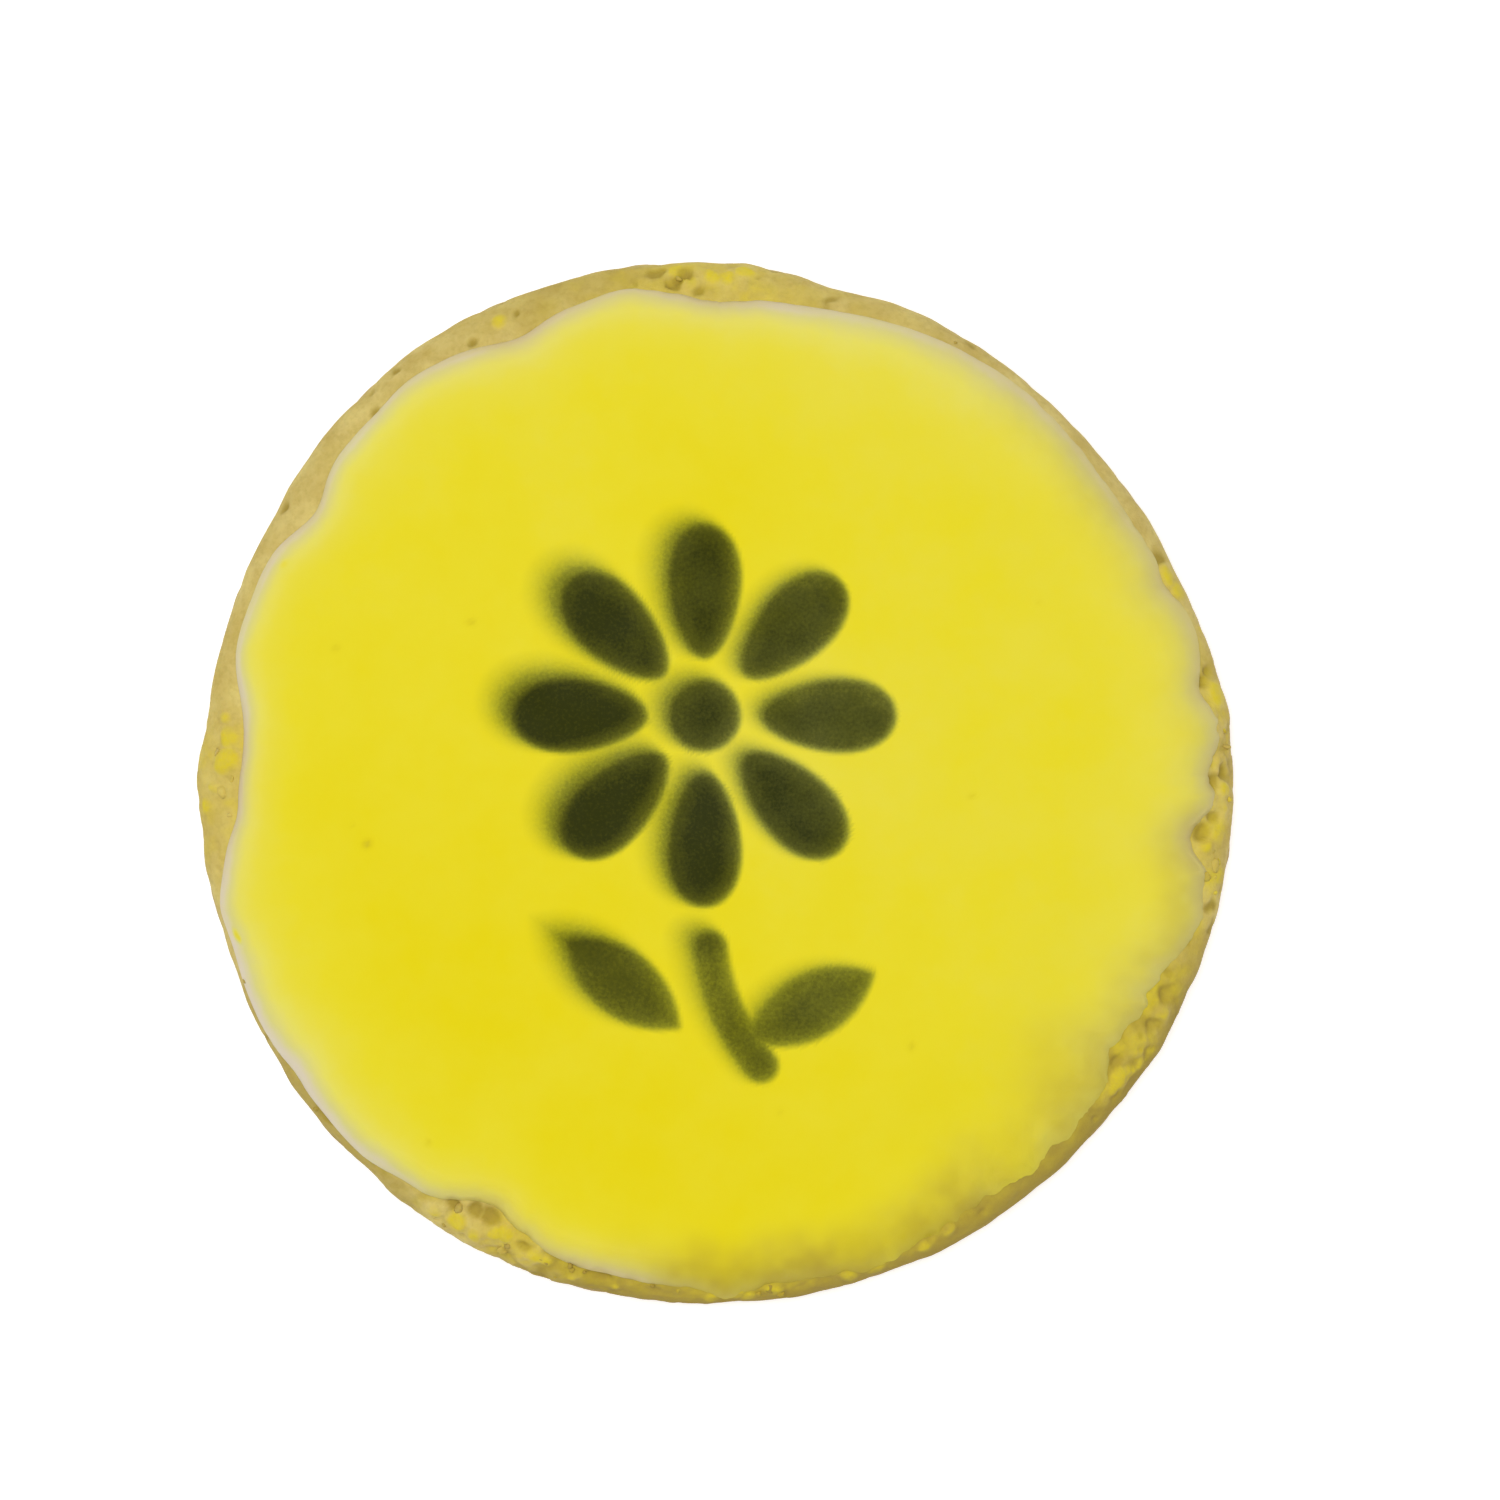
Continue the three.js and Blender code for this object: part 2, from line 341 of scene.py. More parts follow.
PITS = [
    (0.3, 48.1, 0.7), (1.4, 48.9, 0.8), (11.8, 47.9, 0.7), (13, 48.5, 0.6), (85.2, 48.9, 0.3),
    (92, 47.3, 0.5), (113, 49.2, 0.4), (119, 48.3, 0.5), (131.5, 50.2, 0.4), (147.3, 49.4, 0.6),
    (187, 48.3, 0.4), (190, 48.4, 0.4), (240.6, 49.8, 0.4), (240.8, 47.2, 0.9), (242.6, 47, 0.9),
    (247.6, 48.2, 0.7), (257.6, 48.7, 0.6), (271.3, 49.4, 0.5), (284.3, 48.3, 0.5), (295.2, 48.1, 0.5),
    (302, 48.8, 0.35), (318.2, 48.7, 0.4), (325.2, 46.8, 0.55), (331.2, 47.9, 0.4), (334.8, 47.8, 0.6),
    (354.3, 47, 0.95), (356.4, 48, 0.7)]


def cookie_height(angle, radius):
    """The plain cookie's top at a radius: a quarter ellipse falling from the level top to the side."""
    outward = np.clip(1 - (cookie_radius(angle) - radius) / SHOULDER_REACH, 0, 1)
    return COOKIE_TOP - SHOULDER_FALL * (1 - np.sqrt(1 - outward**2))


def spots_at(points, spots):
    """The largest of size * exp(-(distance / size)³) over spots on the shoulder."""
    nearest = np.zeros(points.shape[:-1])
    for angle, radius, size in spots:
        away = np.linalg.norm(points - at_polar(radius, angle, cookie_height(angle, radius)), axis=-1)
        nearest = np.maximum(nearest, size * np.exp(-((away / size) ** 3)))
    return nearest


def crumb_relief(points, angle, slope):
    """Height of the crumb above the plain profile, in mm, and how deep in a pit each point is (0 to 1).
    The cutter's wall kept the side from bulging, so there the relief hardly goes outwards."""
    raised = smooth(slope, *RAISED_SLOPES)
    crumbly = share_at(CRUMBLY_STRETCHES, angle, 0.12) * (1 - 0.5 * smooth(slope, *LEVEL_SLOPES))
    bent = bent_points(points, *GRAIN_BEND)
    chunks = 0.5 - smooth(grain_distance(bent, *CHUNKS), *CHUNK_SIDES)
    grains = CHUNK_HEIGHT * chunks + FINE_HEIGHT * rough_noise(points, *FINE_CRUMB)
    pit = smooth(grain_distance(bent, *HOLLOWS), *HOLLOW_SIDES)
    pit = pit * smooth(value_noise(points, 5.3, 16), 0, 0.3)
    relief = (0.35 + 0.65 * crumbly) * noise_sum(points, SWELLING)
    relief = relief + crumbly * grains - (0.15 + 0.4 * crumbly) * pit
    uneven = bent_points(points, *SPOT_BEND)
    sunk = spots_at(uneven, PITS)
    relief = relief + LUMP_HEIGHT * spots_at(uneven, LUMPS) - PIT_DEPTH * sunk
    relief = relief * (0.6 + 0.4 * raised)
    pressed = np.minimum(relief, SIDE_BULGE + 0.1 * np.maximum(relief, 0))
    return pressed + (relief - pressed) * raised, np.maximum(pit, sunk)


def cookie_rings():
    """Points of the visible rings, in mm, with their angles, their relief and their depth in pits."""
    angle, inset, height, slope = np.broadcast_arrays(cookie_angle, *profile_rings())
    crag = crag_at(angle, np.maximum(SHOULDER_START - height, 0))
    crag = crag * np.where(slope < 0, cosine(slope), 1 - np.minimum(inset / SHOULDER_REACH, 1))
    radius = cookie_radius(angle) + crag - inset
    relief, pit = crumb_relief(at_polar(radius, angle, height), angle, slope)
    relief = relief * smooth(height, 0, CALM_FOOT)
    points = at_polar(radius + relief * cosine(slope), angle, height + relief * sine(slope))
    return points, angle, relief, pit


rim_points, rim_angle, rim_relief, rim_pit = cookie_rings()

# %% [markdown]
# ## Where colour falls on the dough
#
# Three values at the mesh's points colour the dough: how browned it is (the foot and the underside touched
# the tray), its painted shade and tone, and how much yellow drifted onto it when the icing was sprayed.
# The painted shade is darker the deeper a point lies in the crumb, in pits and in the underside's pores,
# and along stretches of the rim, most on the lower right, which is turned from the lamp. Elsewhere those
# stretches make the dough a darker or lighter tone. The yellow lies in patches, on what faced up.

# %% Browning, painted shade and drifted yellow
DRIFT_PATCHES = [
    (300, 62, 0.3), (0, 24, 0.22), (92, 16, 0.3), (180, 9, 0.5), (89, 6, 0.35), (243, 9, 0.35),
    (257, 7, 0.1), (268, 5, 0.4), (284, 14, 0.2), (331, 12, 0.35), (354, 9, 0.55), (10, 4, 0.5)]
# Stretches of the rim made darker: on the lower right, turned from the lamp, painted shade; elsewhere a
# darker or lighter tone
SHADE_AND_TONE_STRETCHES = [
    (298, 30, 0.7), (282, 14, 0.65), (267, 6, 0.3), (315, 9, 0.3), (332, 10, 0.45), (350, 9, -0.25),
    (256, 8, 0.65), (241, 7, -0.3), (227, 13, 0.4), (213, 9, 0.25), (180, 18, -0.55), (101, 13, 0.25)]
DRIFT_NOISE = [(1, 2.3, 31), (0.5, 0.9, 32)]
SPRAYED_FROM = np.array([-0.25, 0.2, 0.95])
BROWNED_HEIGHTS = (4.5, 0.2)  # mm, from not at all to fully
# Painted shade of the plain crumb, and how much darker it gets for each mm its relief sinks
PLAIN_SHADE, SHADE_PER_MM = 0.35, 1.4


def facing(points, direction):
    """The cosine between a direction and the surface's normal, the cross product of the steps along the
    ring and to the next ring."""
    along = np.roll(points, -1, axis=1) - np.roll(points, 1, axis=1)
    normal = np.cross(along, np.gradient(points, axis=0))
    return normal @ direction / (np.linalg.norm(normal, axis=-1) * np.linalg.norm(direction))


def drifted_yellow(points, angle):
    """Patches along the rim times value noise, and nearly all of each lump, on what faced the spray."""
    amount = 0.06 + share_at(DRIFT_PATCHES, angle)
    patches = 0.5 + 0.7 * smooth(noise_sum(points, DRIFT_NOISE), -0.35, 0.75)
    lumps = np.minimum(1.7 * spots_at(bent_points(points, *SPOT_BEND), LUMPS), 0.95)
    faced = facing(points, SPRAYED_FROM)
    drift = np.maximum(amount * patches * smooth(faced, 0, 0.9), lumps * smooth(faced, -0.3, 0.6))
    return np.clip(drift, 0, 1)


rim_drift = drifted_yellow(rim_points, rim_angle) * (1 - 0.6 * rim_pit)
rim_browned = smooth(rim_points[..., 2] + 0.8 * value_noise(rim_points, 3, 41), *BROWNED_HEIGHTS)
# Painted shade: darker in pits and where the crumb's relief sinks, lighter where it rises, plus the
# stretches' painted shade and tone
rim_depth = np.clip(PLAIN_SHADE - SHADE_PER_MM * rim_relief, 0, 1) + 0.55 * rim_pit
rim_depth = np.clip(rim_depth + swells_at(SHADE_AND_TONE_STRETCHES, rim_angle), 0, 1)

# %% [markdown]
# ## The underside
#
# The underside is level, with pores where steam was trapped against the tray. It is a bent grid that fills
# the lowest ring. Its edge has half as many points as the ring, so three triangles join each of its steps
# to two of the ring's.

# %% The underside's grid
UNDER_CELLS = COOKIE_STEPS // 8
UNDER_MARGIN = 0.3  # mm between the grid's edge and the lowest ring
PORE_BEND, PORE_DEPTH, LIFTED_HEIGHT = (0.5, 2.1, 21), 0.55, 0.12
LARGE_PORES, LARGE_SIDES = (5.5, 24), (0.24, 0.06)
SMALL_PORES, SMALL_SIDES = (2.6, 27), (0.34, 0.12)


def underside():
    """Points of the grid, raised in the pores, with how deep in a pore each is (its painted shade) and how
    browned.
    """
    share, angle = disc_grid(UNDER_CELLS)
    radius = share * (cookie_radius(angle) - FOOT_ROUNDING - UNDER_MARGIN)
    flat = at_polar(radius, angle, 0 * radius)
    bent = bent_points(flat, *PORE_BEND)
    large = smooth(grain_distance(bent, *LARGE_PORES), *LARGE_SIDES)
    small = smooth(grain_distance(bent, *SMALL_PORES), *SMALL_SIDES)
    chance = smooth(value_noise(flat, 9, 30), -0.5, 0.3)
    inner = smooth(1 - share, 0, 0.04)
    pore = inner * chance * np.maximum(large, 0.45 * small)
    flat[..., 2] = PORE_DEPTH * pore + inner * LIFTED_HEIGHT * np.maximum(value_noise(flat, 14, 31), 0)
    browned = 0.86 + 0.14 * smooth(share + 0.12 * value_noise(flat, 11, 34), 0.55, 0.95)
    return flat.reshape(-1, 3), pore.ravel(), browned.ravel()


under_points, under_depth, under_browned = underside()

# %% The cookie's mesh
HIDDEN_RINGS = np.array([0.94, 0.6])  # shares of the last visible ring's radius
HIDDEN_SHADE_AND_TONE = 0.2


def stitch_underside(first_ring):
    """Triangles between the grid's edge and the lowest ring, facing down. Edge point k stands 2k steps of
    the ring beyond GRID_START."""
    _, edge = grid_faces(UNDER_CELLS)
    turned = np.roll(edge, -1)
    begin = COOKIE_STEPS * GRID_START // 360 + 2 * np.arange(len(edge))
    here, between, there = (first_ring + (begin + i) % COOKIE_STEPS for i in range(3))
    triangles = [(edge, between, here), (edge, turned, between), (turned, there, between)]
    return np.concatenate([np.stack(corners, -1) for corners in triangles])


def cookie_piece():
    """The underside's grid, the visible rings, and coarse rings with a middle point under the icing."""
    top = rim_points[-1] * HIDDEN_RINGS[:, None, None] * [1, 1, 0] + [0, 0, COOKIE_TOP]
    rings = np.concatenate([rim_points, top])
    first = len(under_points)
    points = np.concatenate([under_points, rings.reshape(-1, 3), [[0, 0, COOKIE_TOP]]])

    under_faces, _ = grid_faces(UNDER_CELLS)
    step = np.arange(COOKIE_STEPS)
    last = first + (len(rings) - 1) * COOKIE_STEPS
    fan = np.stack([np.full_like(step, len(points) - 1), last + step, last + (step + 1) % COOKIE_STEPS], -1)

    def spread(under, values, above):
        """Values at the underside, the visible rings and the points under the icing."""
        hidden = np.full(len(HIDDEN_RINGS) * COOKIE_STEPS + 1, above)
        return np.concatenate([np.broadcast_to(under, first), values.ravel(), hidden])

    return mesh_piece(
        "baked_cookie", points,
        np.concatenate([under_faces[:, ::-1], ring_quads(len(rings), COOKIE_STEPS, first)]),
        np.concatenate([stitch_underside(first), fan]),
        browned=spread(under_browned, rim_browned, 0),
        # Painted shade in the pores, the pits and the crumb's hollows, and the rim's stretches of painted
        # shade and tone
        depth=spread(under_depth, rim_depth, HIDDEN_SHADE_AND_TONE),
        drift=spread(0, rim_drift, 0))


cookie = cookie_piece()

# %% [markdown]
# ## The poured icing
#
# Poured icing levels itself: its top is a sheet with a faint dome, and its edge a rounded bead that
# surface tension held back. On two stretches it was scraped thin, and slopes down to a ragged edge. Its
# top is a bent grid, and its height is a function of the radius and the angle.

# %% The icing's top
ICING_CELLS = 300
SEAT_GAP = 0.3
ICING_THICKNESS = 2
ICING_DOME = 0.4
BEAD_REACH = 2.4
THIN_REACH = 4
THIN_LOSS = 1.1
FLAT_RADIUS = 32
THIN_STRETCHES = [(38, 26, 0.7), (314, 36, 1)]
RAGGED_STRETCHES = [
    (3, 9, 0.7), (90, 7, 0.4), (246, 9, 0.4), (272, 8, 0.7), (300, 16, 1), (330, 14, 1), (352, 8, 0.8)]
EDGE_WOBBLE = [(0.3, 3.3, 51), (0.34, 1.7, 52), (0.204, 0.85, 53), (0.1224, 0.425, 54)]
EDGE_STEP, SEARCH_STEP, SEARCH_TURN = 0.25, 0.5, 40  # degrees
BEAD_START = 0.8  # the grid's share where the rounded edge begins
BEAD_POWER, THIN_POWER = 1.5, 0.4
SEAT_EDGE = (-0.3, 1.6)  # mm inwards between which the gap opens


def icing_edge(angle):
    """The icing's outline, with value noise of 0.4 to 3 mm along its ragged stretches."""
    ragged = share_at(RAGGED_STRETCHES, angle, 0.06)
    return icing_radius(angle) + ragged * noise_sum(at_polar(ICING_RADIUS, angle, 0 * angle), EDGE_WOBBLE)


def edge_distance(x, y, angle):
    """The shortest distance to the icing's outline, among its points up to SEARCH_TURN to either side."""
    table = np.arange(0, 360, EDGE_STEP)
    edge = icing_edge(table)
    nearest = np.full(x.shape, np.inf)
    for turn in np.arange(-SEARCH_TURN, SEARCH_TURN + SEARCH_STEP, SEARCH_STEP):
        near = (angle + turn) % 360
        radius = np.interp(near, table, edge, period=360)
        nearest = np.minimum(nearest, np.hypot(x - radius * cosine(near), y - radius * sine(near)))
    return nearest


def bead_reach(angle):
    return BEAD_REACH + THIN_REACH * swells_at(THIN_STRETCHES, angle)


def icing_plan(share, angle):
    """Each point's radius. Inside BEAD_START it grows evenly; outside, it is edge - reach * (1 - cos)."""
    edge, reach = icing_edge(angle), bead_reach(angle)
    turn = 90 * np.clip((1 - share) / (1 - BEAD_START), 0, 1)
    bead = edge - reach * (1 - cosine(turn))
    return np.where(share < BEAD_START, (edge - reach) * share / BEAD_START, bead)


def icing_height(radius, angle, inwards):
    """The seat, plus the thickness times a quarter ellipse over the bead's reach, plus the dome. A power
    of the ellipse eases the bead's foot, and a higher one feathers it where the icing was scraped thin."""
    thin, reach = swells_at(THIN_STRETCHES, angle), bead_reach(angle)
    rise = np.sqrt(1 - (1 - np.clip(inwards / reach, 0, 1)) ** 2) ** (BEAD_POWER + THIN_POWER * thin)
    loss = THIN_LOSS * thin * smooth(radius, FLAT_RADIUS, ICING_RADIUS - reach)
    dome = ICING_DOME * np.clip(1 - (radius / FLAT_RADIUS) ** 2, 0, 1)
    gap = SEAT_GAP * smooth(inwards, *SEAT_EDGE)
    return cookie_height(angle, radius) + gap + (ICING_THICKNESS - loss) * rise + dome


icing_share, icing_angle = disc_grid(ICING_CELLS)
icing_r = icing_plan(icing_share, icing_angle)
icing_x, icing_y = icing_r * cosine(icing_angle), icing_r * sine(icing_angle)
icing_in = edge_distance(icing_x, icing_y, icing_angle)
icing_z = icing_height(icing_r, icing_angle, icing_in)

# %% [markdown]
# ## Small unevenness in the icing
#
# Set icing is never quite flat: pouring leaves broad undulations, crumbs under its skin leave low bumps,
# and burst air bubbles leave pores. All are heights added to the top that fade out at the edge. Where the
# icing was scraped thin, the dough's crumb shows through it as a rough relief.

# %% Undulations, bumps and pores
rng = np.random.default_rng(20)
UNDULATION, SETTLED, BUBBLE_DEPTH = [(0.08, 19, 61), (0.02, 7, 62)], 0.06, 0.15
BUMPS = (34, 44, (0.9, 2.2), (0.015, 0.05))  # count, reach, radii and heights
SAG_LIMIT = 0.35
# The x, y, radius and strength of each burst bubble.
PORES = [
    (-33.4, -5.8, 0.4, 0.8), (-23.4, 15.5, 0.35, 0.5), (-36.4, 13, 0.35, 0.35), (18.8, -25.2, 0.35, 0.4),
    (24.6, -1.2, 0.3, 0.4), (-34.8, -4, 0.25, 0.2), (-27.5, -34.4, 0.3, 0.35), (-10.1, 20.2, 0.25, 0.4),
    (6.2, -31.5, 0.3, 0.2), (31, 17.4, 0.25, 0.2), (25.5, -41.2, 0.35, 0.6), (20.4, -43.7, 0.4, 0.7),
    (18, -43.5, 0.3, 0.5), (12.3, -46.9, 0.45, 0.7)]


def low_bells(x, y, spots):
    """The sum of size * exp(-(distance / radius)²) over rows of x, y, radius and size, in mm."""
    total = np.zeros_like(x)
    for at_x, at_y, radius, size in spots:
        total += size * np.exp(-((x - at_x) ** 2 + (y - at_y) ** 2) / radius**2)
    return total


def scattered_spots(count, reach, radius, size):
    """Rows of x, y, radius and size, spread evenly over a disc."""
    turn, out = rng.uniform(0, 360, count), reach * np.sqrt(rng.uniform(0, 1, count))
    radius, size = rng.uniform(*radius, count), rng.uniform(*size, count)
    return np.stack([out * cosine(turn), out * sine(turn), radius, size], -1)


def sagging_edge():
    """The dough's hollows, at most SAG_LIMIT deep, where the edge lies over them, fading inwards."""
    seat = at_polar(icing_r, icing_angle, cookie_height(icing_angle, icing_r))
    level = np.clip(1 - (cookie_radius(icing_angle) - icing_r) / SHOULDER_REACH, 0, 1)
    relief, _ = crumb_relief(seat, icing_angle, np.degrees(np.arccos(level)))
    return np.clip(relief, -SAG_LIMIT, 0) * smooth(icing_in, 1.2, 0.1)


flat_top = at_polar(icing_r, icing_angle, 0 * icing_r)
bumps = low_bells(icing_x, icing_y, scattered_spots(*BUMPS))
pores = low_bells(icing_x, icing_y, PORES)
scraped = share_at(THIN_STRETCHES, icing_angle) * smooth(icing_in, 6, 1)
printed = scraped * (0.13 * rough_noise(flat_top, 1.9, 111) + 0.1 * value_noise(flat_top, 4, 115))
uneven_top = noise_sum(flat_top, UNDULATION) - SETTLED + bumps - BUBBLE_DEPTH * pores
icing_z = icing_z + smooth(icing_in, 0.4, 4) * uneven_top + printed + sagging_edge()

# %% [markdown]
# ## The spray
#
# The yellow was sprayed from above, so it is weak on the bead, which turned away from it, and a cream rim
# is left. On the scraped stretches the dough shines through. Both are values at the points, worked out
# from the distance to the edge.

# %% Yellow and thin icing
FADE_LENGTH = [(210, 22, 2), (180, 14, -0.5), (60, 24, 1.3), (325, 22, 2.6), (0, 12, 0.8)]
RIM_SPRAY = [
    (290, 21, 0.55), (271, 5, 0.2), (308, 3.5, 0.2), (325, 20, 0.22), (243, 8, 0.4), (18, 26, 0.1),
    (208, 22, -0.08)]
GOLDEN_STRETCHES = [
    (270, 8, 1), (280, 9, 0.85), (290, 5, 0.05), (300, 12, 0.75), (308, 4, -0.2), (318, 8, 0.35),
    (330, 12, 0.42), (349, 11, 0.42), (14, 14, 0.2), (38, 15, 0.3)]
DEEP_GOLD = [(315, 12, 5)]  # mm added to GOLD_REACH
TAN_EDGES = [
    (90, 12, 0.4), (115, 14, 0.5), (150, 10, 0.3), (182, 12, 0.3), (242, 9, 0.35), (256, 7, 0.5),
    (56, 16, 0.35), (18, 18, 0.4), (352, 12, 0.22)]
FLECKS = [(-46.1, -14.4, 0.5, 0.7), (-45.8, -14.9, 0.35, 0.5), (-41.4, 21.1, 0.4, 0.3)]
SPRAY_PASSES = [
    (0, 27, 10, 0.12), (5, 3, 11, -0.13), (36, 9, 9, 0.02), (-30, -12, 12, 0.08), (-6, -40, 15, 0.09),
    (-3, 44, 8, 0.08)]
FULL_SPRAY, SPRAY_TILT = 0.81, 0.0018
PLAIN_FADE = 2.3  # mm, to which FADE_LENGTH is added
SPRAY_IN_PORES, SHINE_IN_PORES = 0.25, 0.7
GOLD_REACH, GOLD_CLOUDS = 7.5, [(0.3, 2.4, 74), (0.15, 1, 75)]
TAN_START, TAN_REACH = 0.3, 1.1


def yellow_flecks():
    """Bells over the distance from the icing's nearest point to each fleck's place, so that they are round
    on the steep bead too."""
    points, flecks = at_polar(icing_r, icing_angle, icing_z), np.zeros(icing_x.shape)
    for x, y, radius, strength in FLECKS:
        middle = points.reshape(-1, 3)[np.hypot(icing_x - x, icing_y - y).argmin()]
        flecks = flecks + strength * np.exp(-(np.linalg.norm(points - middle, axis=-1) / radius) ** 2)
    return flecks


def yellow_spray():
    """The strength on level icing times an exponential fade in from the rim, plus the little that reached
    the rim, a few flecks, and what ran together in the pores."""
    full = FULL_SPRAY - SPRAY_TILT * (icing_x + icing_y) + low_bells(icing_x, icing_y, SPRAY_PASSES)
    full = full + 0.04 * value_noise(flat_top, 22, 71)
    rim = share_at(RIM_SPRAY, icing_angle, 0.08)
    length = PLAIN_FADE + swells_at(FADE_LENGTH, icing_angle)
    inwards = np.maximum(icing_in - 0.4 + 0.3 * value_noise(flat_top, 4, 72), 0)
    spray = rim + (full - rim) * (1 - np.exp(-inwards / length))
    return np.clip(spray + yellow_flecks() + SPRAY_IN_PORES * pores, 0, 1)


def dough_shine():
    """How much of the dough shows through: patches that fade inwards over GOLD_REACH or more, and a little
    in each pore."""
    golden = share_at(GOLDEN_STRETCHES, icing_angle) * (1 + noise_sum(flat_top, GOLD_CLOUDS))
    reach = GOLD_REACH + swells_at(DEEP_GOLD, icing_angle)
    fade = smooth(icing_in + 0.9 * value_noise(flat_top, 5, 73), reach, 0.3)
    return np.clip(np.maximum(golden * fade**1.3, SHINE_IN_PORES * pores), 0, 1)


def foot_tan():
    """How much of the baked colour the bead's foot took up, by stretches, fading inwards."""
    fade = np.exp(-np.maximum(icing_in - TAN_START, 0) / TAN_REACH)
    return share_at(TAN_EDGES, icing_angle, 0.04) * fade


# %% [markdown]
# ## The stencilled daisy
#
# A stencil lies on the dry icing and dark colour is misted over it. The gun is never held quite square, so
# one side of each opening is crisp and the other has a soft halo. To draw that, each opening is a signed
# distance in mm, negative inside. The smallest of them is the whole stencil, and the paint's density is a
# function of it.

# %% Distances to the stencil's openings
BLOOM = np.array([-1.0, 6.5])
PETALS = 8
PETAL_LENGTH, PETAL_WIDTH, PETAL_START, PETAL_FLARE = 12.6, 6.6, 5.6, 0.22
HEART_RADIUS = 3.3
STEM_WIDTH = 3
STEM_CENTRE, STEM_BEND = np.array([21.0, -13.2]), 21.6
STEM_FROM, STEM_TO = 187, 220  # the ends of its arc, in degrees round its centre
LEAVES = [((-8.8, -19.2), 142, 13.5, 6), ((9.2, -21.4), 28, 13.5, 6)]
TINY = 1e-6  # keeps a divisor off zero


def oval_distance(x, y, half_length, half_width, flare):
    """About the distance to an oval along x: with k the length of (x / a, y / b) and g that of
    (x / a², y / b²), it is k (k - 1) / g. The flare widens its far end."""
    half_width = half_width * (1 + flare * np.clip(x / half_length, -1, 1))
    k = np.hypot(x / half_length, y / half_width)
    g = np.hypot(x / half_length**2, y / half_width**2)
    return k * (k - 1) / np.maximum(g, TINY)


def petals_distance(x, y):
    """One petal's oval, with the angle round the bloom folded into a single sector."""
    sector = 360 / PETALS
    turn = np.degrees(np.arctan2(y, x)) - 90
    folded = (turn + sector / 2) % sector - sector / 2
    radius = np.hypot(x, y)
    along = radius * cosine(folded) - PETAL_START - PETAL_LENGTH / 2
    return oval_distance(along, radius * sine(folded), PETAL_LENGTH / 2, PETAL_WIDTH / 2, PETAL_FLARE)


def stem_distance(x, y):
    """A band along an arc, with round ends: the distance to the arc's nearest point or end, less half the
    band's width."""
    turn = np.degrees(np.arctan2(y - STEM_CENTRE[1], x - STEM_CENTRE[0])) % 360
    nearest = np.clip(turn, STEM_FROM, STEM_TO)
    away_x = x - STEM_CENTRE[0] - STEM_BEND * cosine(nearest)
    away_y = y - STEM_CENTRE[1] - STEM_BEND * sine(nearest)
    return np.hypot(away_x, away_y) - STEM_WIDTH / 2


def leaf_distance(x, y, centre, turn, length, width):
    """Two circles that overlap in a pointed leaf: the larger of the distances to them."""
    along = (x - centre[0]) * cosine(turn) + (y - centre[1]) * sine(turn)
    across = -(x - centre[0]) * sine(turn) + (y - centre[1]) * cosine(turn)
    bend = (length**2 + width**2) / (4 * width)
    aside = bend - width / 2
    return np.maximum(np.hypot(along, across - aside), np.hypot(along, across + aside)) - bend


def stencil_distance(x, y):
    """The smallest distance to the petals, the heart, the stem and the leaves."""
    bloom_x, bloom_y = x - BLOOM[0], y - BLOOM[1]
    openings = [petals_distance(bloom_x, bloom_y), np.hypot(bloom_x, bloom_y) - HEART_RADIUS]
    openings += [stem_distance(x, y)] + [leaf_distance(x, y, *leaf) for leaf in LEAVES]
    return np.minimum.reduce(openings)


# %% Density of the dark paint
MIST_LAYERS = [(0, 0.5), (0.5, 0.2), (1.0, 0.14), (1.6, 0.1), (2.3, 0.06)]  # drift in mm, share of paint
MIST_DRIFT = np.array([-0.87, 0.5])
MIST_SLANT, SLANT_PER_MM, SLANTS = 0.75, 0.03, (0.2, 1.15)
PAINT_FULL, PAINT_TILT, EDGE_SHADE, STEM_LOSS = 0.97, (0.010, 0.006), 0.16, 0.4
COAT_POWER = 0.62


def dark_paint(x, y):
    """Layers of mist, each through the stencil at a greater slant, so that it lands further to the upper
    left with a softer edge. The gun was more slanted on the left, and its strength varies."""
    coat, slant = 0, np.clip(MIST_SLANT - SLANT_PER_MM * x, *SLANTS)
    for drift, share in MIST_LAYERS:
        drift = drift * slant
        outside = stencil_distance(x - drift * MIST_DRIFT[0], y - drift * MIST_DRIFT[1])
        coat = coat + share * smooth(outside, 0.45 + 0.5 * drift, -0.5 - 0.3 * drift)
    shade = EDGE_SHADE * smooth(-stencil_distance(x, y), 2.4, 0.3)
    clouds = 0.09 * value_noise(flat_top, 9, 81) + 0.05 * rough_noise(flat_top, 2.6, 82)
    strength = PAINT_FULL - PAINT_TILT[0] * x - PAINT_TILT[1] * (y - BLOOM[1]) + clouds
    strength = strength * (1 - STEM_LOSS * smooth(-y, 12, 18))
    return np.clip(strength * coat**COAT_POWER * (1 - shade), 0, 1)


# %% [markdown]
# ## Closing the icing
#
# The top alone would be a sheet with nothing under it. A short skirt goes on from its edge, pressed a
# little way into the dough so that no gap shows, and runs back to the middle.

# %% The icing's mesh
SKIRT = [(0.15, 0.45), (1.6, 0.3), (9, 0)]  # mm inwards from the edge, and mm down into the dough


